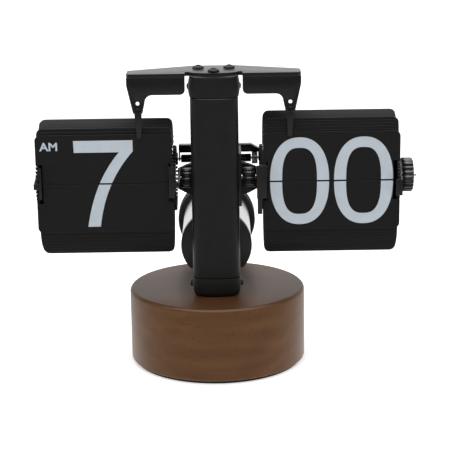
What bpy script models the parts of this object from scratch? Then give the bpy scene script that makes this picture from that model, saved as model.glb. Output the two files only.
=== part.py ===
"""Flip number clock: two split-flap drums either side of a column on a round wooden base.

Metres, +Z up, the clock faces -Y, and the origin is the centre of the base's underside.
"""

import math

import bmesh
import bpy

# Driving dimensions, in metres
GAP = 0.0003                # clearance between neighbouring pieces
BASE_RADIUS = 0.0500
BASE_HEIGHT = 0.0430
PAD_THICKNESS = 0.0015
COLUMN_HALF_WIDTH = 0.0132
COLUMN_FRONT = -0.0264
COLUMN_BACK = -0.0153
COLUMN_WALL = 0.0018
COLLAR_HEIGHT = 0.0103
TOP_COLLAR_HEIGHT = 0.0123
BRACKET_TOP = 0.1690
BRACKET_SHEET = 0.0012
BRACKET_HALF_WIDTH = 0.0466
LEG_X = 0.0413
LEG_BOTTOM = 0.1473
CATCH_LEAN = 0.16           # slope of the catch arms back towards the leaves
DRUM_Y = -0.0064            # both drums turn on one line along X
DRUM_Z = 0.1075
DRUM_OFFSET = 0.0016        # the drums and movement sit a little to the right of the column
AXLE_RADIUS = 0.00125
BORE_RADIUS = 0.00155
RIM_RADIUS = 0.0183
RIM_INNER_X = (0.0232, 0.0250)
RIM_OUTER_X = (0.0987, 0.1003)
HUB_RADIUS = 0.0060
PIN_RADIUS = 0.0160         # circle on which the leaves hinge
LEAF_LENGTH = 0.0272
LEAF_INNER_X = 0.0248
LEAF_OUTER_X = 0.1001
FLAP_THICKNESS = 0.0005
FLAP_BACK = -0.0221
HINGE_Y = -0.02295
HINGE_Z = 0.10815
NOTCH_INNER_X = 0.0273
NOTCH_OUTER_X = 0.0964
NOTCH_HEIGHT = 0.0110
HOUR_TEETH = 48
MINUTE_TEETH = 60
TRANSFER_Y = 0.0130         # the shaft that carries from minutes to hours
TRANSFER_Z = 0.1145
TRANSFER_TEETH = 8
TRAIN_MODULE = 0.00026
WHEEL_TEETH, IDLER_PINION_TEETH = 48, 12
IDLER_TEETH, ROTOR_PINION_TEETH = 40, 10
IDLER_ANGLE = math.radians(-40.0)
ROTOR_ANGLE = math.radians(77.0)
CASE_HALF_WIDTH = 0.0130
CASE_Y = (-0.0143, 0.0104)
CASE_Z = (0.0923, 0.1224)
CASE_WALL = 0.0012
BATTERY_Z = 0.0670
TUBE_RADIUS = 0.0200
TUBE_WALL = 0.0012
TUBE_Y = (0.0028, 0.0620)
CELL_RADIUS = 0.0171
CELL_Y = (0.0040, 0.0655)
CAP_RADIUS = 0.0234
CAP_Y = (0.0580, 0.0690)

ALONG_X = (math.pi / 2, 0.0, math.pi / 2)    # local x, y, z become Y, Z, X
ALONG_Y = (math.pi / 2, 0.0, math.pi)        # local x, y, z become -X, Z, Y
FACING_FRONT = (math.pi / 2, 0.0, 0.0)       # local x, y, z become X, Z, -Y

materials = {}


def material(name, colour, roughness, metallic=0.0):
    """A plain surface finish, made once and shared."""
    if name not in materials:
        made = bpy.data.materials.new(name)
        made.use_nodes = True
        shader = made.node_tree.nodes["Principled BSDF"]
        shader.inputs["Base Color"].default_value = (*colour, 1.0)
        shader.inputs["Roughness"].default_value = roughness
        shader.inputs["Metallic"].default_value = metallic
        materials[name] = made
    return materials[name]


def black_paint():
    return material("black_paint", (0.016, 0.017, 0.016), 0.5)


def black_plastic():
    return material("black_plastic", (0.012, 0.012, 0.013), 0.4)


def leaf_plastic():
    return material("leaf_plastic", (0.011, 0.011, 0.012), 0.6)


def steel():
    return material("steel", (0.6, 0.6, 0.6), 0.3, 1.0)


def cream_plastic():
    return material("cream_plastic", (0.72, 0.66, 0.52), 0.4)


def solid(name, bm, finish, location=(0, 0, 0), rotation=(0, 0, 0)):
    """Close the mesh, point its faces out and place it as one named object."""
    bmesh.ops.remove_doubles(bm, verts=bm.verts, dist=1e-7)
    bmesh.ops.recalc_face_normals(bm, faces=bm.faces)
    mesh = bpy.data.meshes.new(name)
    bm.to_mesh(mesh)
    bm.free()
    mesh.shade_smooth()
    mesh.set_sharp_from_angle(angle=math.radians(35))
    mesh.materials.append(finish)
    placed = bpy.data.objects.new(name, mesh)
    placed.location = location
    placed.rotation_euler = rotation
    bpy.context.scene.collection.objects.link(placed)
    return placed


def prism(name, outlines, start, end, finish, location=(0, 0, 0), rotation=(0, 0, 0)):
    """Fill an outline, less any holes given after it, and extrude it along local z."""
    bm = bmesh.new()
    edges = []
    for outline in outlines:
        ring = [bm.verts.new((x, y, start)) for x, y in outline]
        edges += [bm.edges.new((a, b)) for a, b in zip(ring, ring[1:] + ring[:1])]
    bmesh.ops.triangle_fill(bm, use_beauty=True, use_dissolve=False, edges=edges)
    raised = bmesh.ops.extrude_face_region(bm, geom=bm.faces[:])
    top = [v for v in raised["geom"] if isinstance(v, bmesh.types.BMVert)]
    bmesh.ops.translate(bm, verts=top, vec=(0, 0, end - start))
    return solid(name, bm, finish, location, rotation)


def turned(name, profile, finish, location=(0, 0, 0), rotation=(0, 0, 0), steps=32):
    """Turn a closed profile of (along, radius) points about local z."""
    bm = bmesh.new()
    ring = [bm.verts.new((radius, 0, along)) for along, radius in profile]
    edges = [bm.edges.new((a, b)) for a, b in zip(ring, ring[1:] + ring[:1])
             if a.co.x > 0 or b.co.x > 0]
    bmesh.ops.spin(bm, geom=ring + edges, cent=(0, 0, 0), axis=(0, 0, 1),
                   angle=2 * math.pi, steps=steps, use_merge=True)
    return solid(name, bm, finish, location, rotation)


def tube_profile(start, end, inner, outer):
    return [(start, inner), (start, outer), (end, outer), (end, inner)]


def circle(radius, count, x=0.0, y=0.0):
    return [(x + radius * math.cos(2 * math.pi * i / count),
             y + radius * math.sin(2 * math.pi * i / count)) for i in range(count)]


def box_outline(x0, x1, y0, y1):
    return [(x0, y0), (x1, y0), (x1, y1), (x0, y1)]


def combine(target, other, operation):
    """Join another solid to the target, or cut it away, and keep it only as a guide."""
    boolean = target.modifiers.new(f"{operation.lower()}_{other.name}", "BOOLEAN")
    boolean.operation = operation
    boolean.object = other
    other.hide_render = True
    other.display_type = "WIRE"
    return target


def gear_outline(teeth, module, backlash, middle):
    """Involute teeth of 20 degrees, with one tooth's middle at the given angle."""
    pitch = teeth * module / 2
    base = pitch * math.cos(math.radians(20))
    tip = pitch + 0.8 * module
    root = pitch - 1.15 * module

    def roll(radius):
        turn = math.sqrt(max((radius / base) ** 2 - 1, 0))
        return turn - math.atan(turn)

    half = math.pi / (2 * teeth) - backlash / (2 * pitch) + roll(pitch)
    start = max(base, root)
    flank = [(root, half - roll(start))] if root < start else []
    flank += [(r, half - roll(r)) for r in (start, (start + tip) / 2, tip)]
    points = []
    for tooth in range(teeth):
        centre = middle + 2 * math.pi * tooth / teeth
        for radius, angle in flank:
            points.append((radius * math.cos(centre - angle), radius * math.sin(centre - angle)))
        for radius, angle in reversed(flank):
            points.append((radius * math.cos(centre + angle), radius * math.sin(centre + angle)))
    return points


def saw_outline(teeth, radius, depth):
    """A rim of plain pointed teeth."""
    points = []
    for i in range(2 * teeth):
        angle = math.pi * i / teeth
        reach = radius if i % 2 else radius - depth
        points.append((reach * math.cos(angle), reach * math.sin(angle)))
    return points


def column_outline(inset=0.0, steps=14):
    """Section of the column in plan: flat sides, a full round front, open back."""
    half = COLUMN_HALF_WIDTH - inset
    shoulder = -0.0195
    bulge = (shoulder - COLUMN_FRONT) - inset
    points = []
    for i in range(steps + 1):
        angle = math.pi * i / steps
        across = math.copysign(abs(math.cos(angle)) ** 0.8, math.cos(angle))
        points.append((-half * across, shoulder - bulge * math.sin(angle) ** 0.8))
    return points


def clear_scene():
    for old in list(bpy.data.objects):
        bpy.data.objects.remove(old, do_unlink=True)


def make_base():
    """Turned wooden puck with a thin pad under it and two long bolts up into the post."""
    wood = material("walnut_stain", (0.105, 0.048, 0.026), 0.45)
    body = turned("base_block", [(PAD_THICKNESS + GAP, 0), (PAD_THICKNESS + GAP, BASE_RADIUS - 0.001),
                                 (PAD_THICKNESS + 0.0013, BASE_RADIUS),
                                 (BASE_HEIGHT - 0.0022, BASE_RADIUS),
                                 (BASE_HEIGHT - 0.0007, BASE_RADIUS - 0.0007),
                                 (BASE_HEIGHT, BASE_RADIUS - 0.0024), (BASE_HEIGHT, 0)],
                  wood, steps=64)
    for side, x in (("left", -0.006), ("right", 0.006)):
        hole = turned(f"cut_bolt_{side}", [(-0.001, 0), (-0.001, 0.0046), (0.012, 0.0046),
                                           (0.012, 0.0023), (0.045, 0.0023), (0.045, 0)],
                      wood, (x, -0.009, 0), steps=16)
        combine(body, hole, "DIFFERENCE")
        turned(f"base_bolt_{side}", [(0.0075, 0), (0.0075, 0.0040), (0.0115, 0.0040),
                                     (0.0115, 0.0020), (0.0425, 0.0020), (0.0425, 0)],
               steel(), (x, -0.009, 0), steps=16)
    turned("base_pad", [(0, 0), (0, BASE_RADIUS - 0.002), (PAD_THICKNESS, BASE_RADIUS - 0.002),
                        (PAD_THICKNESS, 0)], material("pad_felt", (0.02, 0.02, 0.02), 0.95), steps=48)


def make_column():
    """Channel-shaped front cover between two solid collars, on a lower and an upper post."""
    low = BASE_HEIGHT + GAP
    collar_top = low + COLLAR_HEIGHT
    cover_top = BRACKET_TOP - BRACKET_SHEET - GAP - TOP_COLLAR_HEIGHT
    outer = column_outline() + [(COLUMN_HALF_WIDTH, COLUMN_BACK)]
    outer = [(-COLUMN_HALF_WIDTH, COLUMN_BACK)] + outer
    inner = column_outline(COLUMN_WALL)
    channel = outer + [(COLUMN_HALF_WIDTH - COLUMN_WALL, COLUMN_BACK)] + inner[::-1]
    channel += [(-COLUMN_HALF_WIDTH + COLUMN_WALL, COLUMN_BACK)]
    prism("column_cover", [channel], collar_top + GAP, cover_top - GAP, black_paint())
    prism("column_top_collar", [outer], cover_top, cover_top + TOP_COLLAR_HEIGHT, black_paint())

    foot = prism("column_foot_collar", [outer], low, collar_top, black_paint())
    for vertex in foot.data.vertices:
        if vertex.co.z < low + 0.001:
            vertex.co.x *= 0.94
            vertex.co.y = COLUMN_BACK + (vertex.co.y - COLUMN_BACK) * 0.94
    for level, z in (("foot", low + 0.0062), ("top", cover_top + 0.0058)):
        for side, sign in (("left", -1), ("right", 1)):
            turned(f"{level}_screw_{side}", [(0.0136, 0), (0.0136, 0.0019), (0.0141, 0.0019),
                                             (0.0147, 0.0010), (0.0149, 0)],
                   black_plastic(), (0, -0.0185, z), (0, sign * math.pi / 2, 0), steps=16)

    prism("lower_post", [box_outline(-0.0090, 0.0090, -0.0150, -0.0035)],
          low, CASE_Z[0] - GAP, black_paint())
    prism("upper_post", [box_outline(-0.0105, 0.0105, -0.0135, 0.0035)],
          CASE_Z[1] + GAP, BRACKET_TOP - BRACKET_SHEET - GAP, black_paint())


def bracket_plan(steps=10):
    """Half-symmetrical top plate: bowed over the column, swept back in the middle."""
    front = [(-BRACKET_HALF_WIDTH, COLUMN_FRONT), (-0.0156, COLUMN_FRONT), (-0.0156, -0.0200)]
    for i in range(steps + 1):
        angle = math.pi * i / steps
        front.append((-0.0132 * math.cos(angle), -0.0200 - 0.0064 * math.sin(angle)))
    front += [(0.0156, -0.0200), (0.0156, COLUMN_FRONT), (BRACKET_HALF_WIDTH, COLUMN_FRONT)]
    back = [(BRACKET_HALF_WIDTH, -0.0122), (0.0115, 0.0046), (-0.0115, 0.0046),
            (-BRACKET_HALF_WIDTH, -0.0122)]
    return front + back


def flange_front(sign):
    """Front flange of one wing in X and Z, running down into its tapered leg."""
    points = [(0.0156, BRACKET_TOP), (0.0156, 0.1610)]
    for i in range(4):
        angle = math.radians(180 + 30 * i)
        points.append((0.0183 + 0.0027 * math.cos(angle), 0.1610 + 0.0027 * math.sin(angle)))
    for i in range(4):
        angle = math.radians(90 - 30 * i)
        points.append((0.0335 + 0.0040 * math.cos(angle), 0.1543 + 0.0040 * math.sin(angle)))
    points += [(LEG_X - 0.0026, LEG_BOTTOM), (LEG_X + 0.0026, LEG_BOTTOM),
               (BRACKET_HALF_WIDTH, 0.1623), (BRACKET_HALF_WIDTH, BRACKET_TOP)]
    return [(sign * x, z) for x, z in points]


def make_bracket():
    """Bent sheet-metal wing screwed on top of the column; its legs carry the catch arms."""
    plate = prism("bracket", [bracket_plan()], BRACKET_TOP - BRACKET_SHEET, BRACKET_TOP, black_paint())
    for side, sign in (("left", -1), ("right", 1)):
        wing = prism(f"join_wing_{side}", [flange_front(sign), circle(0.0012, 12, sign * LEG_X, 0.1540)],
                     -COLUMN_FRONT - BRACKET_SHEET, -COLUMN_FRONT, black_paint(), rotation=FACING_FRONT)
        combine(plate, wing, "UNION")
        turned(f"catch_rivet_{side}", [(0, 0), (0, 0.0013), (0.0004, 0.0012), (0.0007, 0.0006), (0.0008, 0)],
               black_plastic(), (sign * LEG_X, COLUMN_FRONT - GAP, 0.1506), FACING_FRONT, steps=12)
    for name, x, y in (("bracket_screw_left", -0.0085, -0.0090), ("bracket_screw_right", 0.0085, -0.0090),
                       ("bracket_screw_front", 0.0, -0.0218)):
        turned(name, [(0, 0), (0, 0.0032), (0.0006, 0.0031), (0.0015, 0.0020), (0.0018, 0)],
               black_plastic(), (x, y, BRACKET_TOP + GAP), steps=20)


def make_catch(name, sign):
    """Narrow sprung strip behind the leg, tapering down to the top edge of the front leaf."""
    top, tip = 0.1534, HINGE_Z + 0.0002 + LEAF_LENGTH + 0.00045
    outline = [(sign * x, z - 0.1506) for x, z in
               ((LEG_X - 0.0021, top), (LEG_X - 0.0019, 0.1450), (LEG_X - 0.0013, tip),
                (LEG_X + 0.0010, tip), (LEG_X + 0.0019, 0.1450), (LEG_X + 0.0021, top))]
    arm = prism(name, [outline], -0.0005, 0.0, black_paint(),
                (0, COLUMN_FRONT + BRACKET_SHEET + GAP, 0.1506), FACING_FRONT)
    for vertex in arm.data.vertices:
        vertex.co.z -= CATCH_LEAN * max(0.0, -0.0045 - vertex.co.y)


def make_movement():
    """Two moulded case halves that meet at X = 0, with wings out to the drums."""
    for side, sign in (("left", -1), ("right", 1)):
        x0, x1 = sorted((sign * 0.00015, sign * CASE_HALF_WIDTH))
        shell = prism(f"movement_case_{side}", [box_outline(CASE_Y[0], CASE_Y[1], CASE_Z[0], CASE_Z[1])],
                      x0, x1, black_plastic(), (0, 0, 0), ALONG_X)
        wing_outline = [(sign * x, z) for x, z in
                        ((0.0125, DRUM_Z - 0.0121), (0.0174, DRUM_Z - 0.0106), (0.0228, DRUM_Z - 0.0077),
                         (0.0228, DRUM_Z + 0.0035), (0.0174, DRUM_Z + 0.0058), (0.0125, DRUM_Z + 0.0072))]
        wing = prism(f"join_gusset_{side}", [wing_outline], -0.0040, 0.0004, black_plastic(),
                     rotation=FACING_FRONT)
        combine(shell, wing, "UNION")
        c0, c1 = sorted((-sign * 0.001, sign * (CASE_HALF_WIDTH - CASE_WALL)))
        cavity = prism(f"cut_cavity_{side}", [box_outline(CASE_Y[0] + CASE_WALL, CASE_Y[1] - CASE_WALL,
                                                          CASE_Z[0] + CASE_WALL, CASE_Z[1] - CASE_WALL)],
                       c0, c1, black_plastic(), rotation=ALONG_X)
        combine(shell, cavity, "DIFFERENCE")
        b0, b1 = sorted((sign * 0.010, sign * 0.016))
        bore = prism(f"cut_axle_bore_{side}", [circle(BORE_RADIUS, 20, DRUM_Y, DRUM_Z)],
                     b0, b1, black_plastic(), rotation=ALONG_X)
        combine(shell, bore, "DIFFERENCE")


def train_centres():
    """Axis of the idler and of the rotor, in Y and Z."""
    first = TRAIN_MODULE * (WHEEL_TEETH + IDLER_PINION_TEETH) / 2
    second = TRAIN_MODULE * (IDLER_TEETH + ROTOR_PINION_TEETH) / 2
    idler = (DRUM_Y + first * math.cos(IDLER_ANGLE), DRUM_Z + first * math.sin(IDLER_ANGLE))
    rotor = (idler[0] + second * math.cos(ROTOR_ANGLE), idler[1] + second * math.sin(ROTOR_ANGLE))
    return idler, rotor


def make_train():
    """Motor rotor, idler and the wheel on the minute axle, with the coil and stator."""
    idler, rotor = train_centres()
    backlash = 0.00010
    brass = material("brass", (0.62, 0.44, 0.18), 0.35, 1.0)
    wheel_gap = IDLER_ANGLE + math.pi / WHEEL_TEETH
    prism("minute_drive_wheel", [gear_outline(WHEEL_TEETH, TRAIN_MODULE, backlash, wheel_gap),
                                 circle(BORE_RADIUS, 16)],
          0.0015, 0.0027, brass, (0, DRUM_Y, DRUM_Z), ALONG_X)

    toothed = prism("idler_gear", [gear_outline(IDLER_PINION_TEETH, TRAIN_MODULE, backlash,
                                                IDLER_ANGLE + math.pi)],
                    0.0012, 0.0044, cream_plastic(), (0, *idler), ALONG_X)
    idler_gap = ROTOR_ANGLE + math.pi / IDLER_TEETH
    wheel = prism("join_idler_wheel", [gear_outline(IDLER_TEETH, TRAIN_MODULE, backlash, idler_gap)],
                  0.0040, 0.0050, cream_plastic(), (0, *idler), ALONG_X)
    arbor = prism("join_idler_arbor", [circle(0.0006, 12)], -0.0100, 0.0100,
                  cream_plastic(), (0, *idler), ALONG_X)
    combine(combine(toothed, wheel, "UNION"), arbor, "UNION")

    pinion = prism("motor_rotor", [gear_outline(ROTOR_PINION_TEETH, TRAIN_MODULE, backlash,
                                                ROTOR_ANGLE + math.pi)],
                   0.0037, 0.0053, cream_plastic(), (0, *rotor), ALONG_X)
    magnet = prism("join_rotor_magnet", [circle(0.0030, 20)], -0.0060, -0.0020,
                   cream_plastic(), (0, *rotor), ALONG_X)
    arbor = prism("join_rotor_arbor", [circle(0.0006, 12)], -0.0100, 0.0100,
                  cream_plastic(), (0, *rotor), ALONG_X)
    combine(combine(pinion, magnet, "UNION"), arbor, "UNION")

    iron = material("stator_iron", (0.35, 0.35, 0.36), 0.4, 1.0)
    stator_bar = box_outline(rotor[0] - 0.0046, 0.0084, rotor[1] - 0.0046, 0.1200)
    prism("motor_stator", [stator_bar, circle(0.0034, 20, *rotor)], -0.0055, -0.0030, iron,
          rotation=ALONG_X)
    prism("motor_coil", [circle(0.0026, 16, -0.0065, 0.1172)], -0.0095, 0.0008,
          material("copper", (0.55, 0.22, 0.10), 0.4, 1.0), rotation=ALONG_X)


def make_transfer():
    """Shaft behind the movement that moves the hour drum on one tooth each hour."""
    angle = math.atan2(TRANSFER_Z - DRUM_Z, TRANSFER_Y - DRUM_Y)
    centre = (0, TRANSFER_Y, TRANSFER_Z)
    turned("transfer_shaft", [(-0.0251, 0), (-0.0251, 0.0007), (0.0246, 0.0007), (0.0246, 0)],
           steel(), centre, ALONG_X, steps=12)
    flutes = []
    for i in range(24):
        turn = 2 * math.pi * i / 24
        reach = 0.0024 if i % 2 else 0.0020
        flutes.append((reach * math.cos(turn), reach * math.sin(turn)))
    prism("transfer_sleeve", [flutes, circle(0.0010, 12)], -0.0212, 0.0189, black_plastic(), centre, ALONG_X)
    distance = math.hypot(TRANSFER_Y - DRUM_Y, TRANSFER_Z - DRUM_Z)
    module = 2 * distance / (HOUR_TEETH + TRANSFER_TEETH)
    teeth = gear_outline(TRANSFER_TEETH, module, 0.00025, angle + math.pi)
    for name, x0, x1 in (("hour_transfer_pinion", -0.0250, -0.0229), ("minute_transfer_pinion", 0.0193, 0.0226)):
        prism(name, [teeth, circle(0.0010, 12)], x0, x1, cream_plastic(), centre, ALONG_X)
    bar = prism("transfer_bridge", [box_outline(0.0105, 0.0155, 0.1184, 0.1228)],
                -0.0224, 0.0242, black_plastic(), rotation=ALONG_X)
    for side, x0, x1 in (("left", -0.0224, -0.0216), ("right", 0.0230, 0.0242)):
        lug_outline = [(TRANSFER_Y - 0.0016, 0.1190), (TRANSFER_Y - 0.0016, TRANSFER_Z),
                       (TRANSFER_Y - 0.0011, TRANSFER_Z - 0.0013), (TRANSFER_Y + 0.0011, TRANSFER_Z - 0.0016),
                       (TRANSFER_Y + 0.0020, TRANSFER_Z), (TRANSFER_Y + 0.0020, 0.1190)]
        lug = prism(f"join_lug_{side}", [lug_outline, circle(0.0010, 12, TRANSFER_Y, TRANSFER_Z)],
                    x0, x1, black_plastic(), rotation=ALONG_X)
        combine(bar, lug, "UNION")


def make_drum(side, sign, teeth, rim):
    """Axle, hub, fluted sleeve and the two toothed discs of one drum."""
    centre = (0, DRUM_Y, DRUM_Z)

    def span(a, b):
        return sorted((sign * a, sign * b))

    x0, x1 = span(*RIM_INNER_X)
    prism(f"{side}_inner_disc", [rim, circle(BORE_RADIUS, 16)], x0, x1, black_plastic(), centre, ALONG_X)
    x0, x1 = span(*RIM_OUTER_X)
    coarse = saw_outline(teeth, RIM_RADIUS, 0.0010 if teeth == HOUR_TEETH else 0.0006)
    prism(f"{side}_outer_disc", [coarse, circle(BORE_RADIUS, 16)], x0, x1, black_plastic(), centre, ALONG_X)
    x0, x1 = span(RIM_INNER_X[1] + GAP, RIM_OUTER_X[0] - GAP)
    turned(f"{side}_hub", tube_profile(x0, x1, BORE_RADIUS, HUB_RADIUS), black_plastic(), centre, ALONG_X, 24)
    x0, x1 = span(0.0136, 0.0208)
    flutes = []
    for i in range(48):
        turn = 2 * math.pi * i / 48
        reach = 0.0055 if i % 4 in (1, 2) else 0.0049
        flutes.append((reach * math.cos(turn), reach * math.sin(turn)))
    prism(f"{side}_fluted_sleeve", [flutes, circle(BORE_RADIUS, 16)], x0, x1, black_plastic(), centre, ALONG_X)


def make_axles():
    """Two steel axles in line; the minute axle runs out through the setting knob."""
    centre = (0, DRUM_Y, DRUM_Z)
    turned("hour_axle", [(-0.1016, 0), (-0.1016, AXLE_RADIUS), (-0.0010, AXLE_RADIUS), (-0.0010, 0)],
           steel(), centre, ALONG_X, steps=16)
    turned("minute_axle", [(-0.0002, 0), (-0.0002, AXLE_RADIUS), (0.1094, AXLE_RADIUS), (0.1094, 0.0009),
                           (0.1108, 0.0009), (0.1111, 0.0006), (0.1111, 0)], steel(), centre, ALONG_X, steps=16)
    ridges = []
    for i in range(80):
        turn = 2 * math.pi * i / 80
        reach = 0.0096 if i % 4 in (1, 2) else 0.0090
        ridges.append((reach * math.cos(turn), reach * math.sin(turn)))
    knob = prism("setting_knob", [ridges, circle(BORE_RADIUS, 16)], 0.1023, 0.1088,
                 black_plastic(), centre, ALONG_X)
    for vertex in knob.data.vertices:
        if vertex.co.z > 0.109 and vertex.co.xy.length > 0.005:
            vertex.co.x *= 0.94
            vertex.co.y *= 0.94


def make_guards(side, sign):
    """Fixed stops on the axle line: an arm beside each toothed disc and a bar in front of it."""
    front, back, bridge = -0.0199, -0.0190, 0.0015
    outlines = {"hour_inner": (0.0212, 0.0222, 0.0240, 0.0270, 0.0105, 0.0071),
                "hour_outer": (0.1006, 0.1012, 0.0968, 0.0982, 0.0105, 0.0071),
                "minute_inner": (0.0212, 0.0222, 0.0212, 0.0267, 0.0103, 0.0080),
                "minute_outer": (0.1006, 0.1012, 0.0976, 0.1012, 0.0011, 0.0075)}
    for end in ("inner", "outer"):
        x0, x1, f0, f1, above, below = outlines[f"{side}_{end}"]
        arm = [(0.0045, -0.0045), (0.0045, 0.0045), (-0.0050, 0.0045), (front + 0.0001, bridge),
               (front + 0.0001, -bridge), (-0.0050, -0.0045)]
        boxes = {"bar": (f0, f1, -below, above), "bridge": (min(x0, f0), max(x1, f1), -bridge, bridge)}
        if (side, end) == ("minute", "inner"):
            boxes["tab"] = (0.0215, 0.0241, -0.0169, 0.0)
        a, b = sorted((sign * x0, sign * x1))
        guard = prism(f"{side}_{end}_guard", [arm, circle(0.0019, 16)], a, b, black_paint(),
                      (0, DRUM_Y, DRUM_Z), ALONG_X)
        for part, (g0, g1, low, high) in boxes.items():
            inset = 0.00005 if part == "bridge" else 0.0
            a, b = sorted((sign * (g0 + inset), sign * (g1 - inset)))
            face = prism(f"join_{side}_{end}_{part}", [box_outline(front, back - inset, low, high)],
                         a, b, black_paint(), (0, DRUM_Y, DRUM_Z), ALONG_X)
            combine(guard, face, "UNION")


def flap_outline(sign, upper):
    """One leaf seen from the front: round outer corners and a notch at both ends by the hinge."""
    lift = 1 if upper else -1
    near, far = 0.0002 * lift, (0.0002 + LEAF_LENGTH) * lift
    notch = NOTCH_HEIGHT * lift
    radius = 0.0030
    points = [(NOTCH_INNER_X, near), (NOTCH_INNER_X, notch), (LEAF_INNER_X, notch)]
    for i in range(5):
        angle = math.radians(22.5 * i)
        points.append((LEAF_INNER_X + radius * (1 - math.cos(angle)),
                       far - lift * radius * (1 - math.sin(angle))))
    for i in range(5):
        angle = math.radians(22.5 * i)
        points.append((LEAF_OUTER_X - radius * (1 - math.sin(angle)),
                       far - lift * radius * (1 - math.cos(angle))))
    points += [(LEAF_OUTER_X, notch), (NOTCH_OUTER_X, notch), (NOTCH_OUTER_X, near)]
    return [(sign * x, z) for x, z in points]


def make_flaps(side, sign):
    """The leaf about to fall, on its own hinge line, and the leaf already fallen below it."""
    for half, upper in (("upper", True), ("lower", False)):
        y0 = HINGE_Y - FLAP_BACK
        prism(f"{side}_{half}_flap", [flap_outline(sign, upper)], y0, y0 + FLAP_THICKNESS, leaf_plastic(),
              (0, HINGE_Y, HINGE_Z), FACING_FRONT)


def leaf_tip(turn, upright, band):
    """Free end of the leaf whose pin is at this turn from the front, in Y and Z from the axle."""
    if turn <= upright:
        lean = 90.0
    elif turn <= upright + 15:
        lean = 90.0 - (90.0 - band) * (turn - upright) / 15
    elif turn <= 180:
        lean = band - (band + 90.0) * (turn - upright - 15) / (165 - upright)
    else:
        lean = -90.0
    pin = math.radians(turn)
    way = math.radians(lean)
    return (-PIN_RADIUS * math.cos(pin) + LEAF_LENGTH * math.cos(way),
            PIN_RADIUS * math.sin(pin) + LEAF_LENGTH * math.sin(way))


def make_pack(side, sign, count, upright, band):
    """All the other leaves of a drum as one body, as far out as their free ends reach."""
    step = 360.0 / count
    front = FLAP_BACK + GAP - DRUM_Y
    outline = [(front, -0.0010), (front, 0.0010)]
    turn = step
    while turn < 360.0 - step / 2:
        y, z = leaf_tip(turn, upright, band)
        outline.append((max(y, front), z))
        turn += step
    outline = [p for i, p in enumerate(outline) if i == 0 or math.dist(p, outline[i - 1]) > 0.0004]
    x0, x1 = sorted((sign * 0.0254, sign * 0.0983))
    prism(f"{side}_leaf_pack", [outline, circle(0.0080, 24)], x0, x1, leaf_plastic(),
          (0, DRUM_Y, DRUM_Z), ALONG_X)


def make_battery():
    """Bright tube for one large cell, a black front cap on the post and a pull-off rear cap."""
    centre = (0, 0, BATTERY_Z)
    bright = material("bright_metal", (0.75, 0.75, 0.74), 0.25, 1.0)
    turned("battery_tube", tube_profile(TUBE_Y[0], TUBE_Y[1], TUBE_RADIUS - TUBE_WALL, TUBE_RADIUS),
           bright, centre, ALONG_Y, steps=48)
    disc = []
    for x, z in circle(TUBE_RADIUS + 0.0002, 48):
        disc.append((x, max(z, -0.0134)))
    disc = [p for i, p in enumerate(disc) if i == 0 or p != disc[i - 1]]
    prism("battery_front_cap", [disc], -0.0028, TUBE_Y[0] - GAP, black_plastic(), centre, ALONG_Y)
    turned("battery_contact", [(0.0031, 0), (0.0031, 0.0050), (0.0036, 0.0050), (0.0036, 0)],
           steel(), centre, ALONG_Y, steps=20)
    nub = CELL_Y[1] - 0.0015
    turned("battery_cell", [(CELL_Y[0], 0), (CELL_Y[0], CELL_RADIUS - 0.0008), (CELL_Y[0] + 0.0008, CELL_RADIUS),
                            (nub - 0.0008, CELL_RADIUS), (nub, CELL_RADIUS - 0.0008), (nub, 0.0047),
                            (CELL_Y[1], 0.0047), (CELL_Y[1], 0)],
           material("cell_jacket", (0.35, 0.36, 0.38), 0.3, 0.6), centre, ALONG_Y, steps=32)
    turned("battery_rear_cap", [(CAP_Y[0], TUBE_RADIUS + GAP), (CAP_Y[0], CAP_RADIUS),
                                (CAP_Y[1] - 0.0015, CAP_RADIUS), (CAP_Y[1], CAP_RADIUS - 0.0015),
                                (CAP_Y[1], 0), (CELL_Y[1] + 0.0008, 0),
                                (CELL_Y[1] + 0.0008, TUBE_RADIUS + GAP)],
           black_plastic(), centre, ALONG_Y, steps=48)


def main():
    clear_scene()
    make_base()
    make_column()
    make_bracket()
    make_catch("hour_catch_arm", -1)
    make_catch("minute_catch_arm", 1)
    standing = set(bpy.data.objects)
    make_movement()
    make_train()
    make_transfer()
    mesh_angle = math.atan2(TRANSFER_Z - DRUM_Z, TRANSFER_Y - DRUM_Y)
    distance = math.hypot(TRANSFER_Y - DRUM_Y, TRANSFER_Z - DRUM_Z)
    module = 2 * distance / (HOUR_TEETH + TRANSFER_TEETH)
    hour_rim = gear_outline(HOUR_TEETH, module, 0.00025, mesh_angle + math.pi / HOUR_TEETH)
    make_drum("hour", -1, HOUR_TEETH, hour_rim)
    make_drum("minute", 1, MINUTE_TEETH, saw_outline(MINUTE_TEETH, RIM_RADIUS, 0.0006))
    make_axles()
    for side, sign in (("hour", -1), ("minute", 1)):
        make_guards(side, sign)
        make_flaps(side, sign)
    make_pack("hour", -1, HOUR_TEETH, 24.0, 50.0)
    make_pack("minute", 1, MINUTE_TEETH, 36.0, 62.0)
    for piece in set(bpy.data.objects) - standing:
        piece.location.x += DRUM_OFFSET
    make_battery()


main()
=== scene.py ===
import math

import bmesh
import bpy
from mathutils import Matrix, Vector


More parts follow.
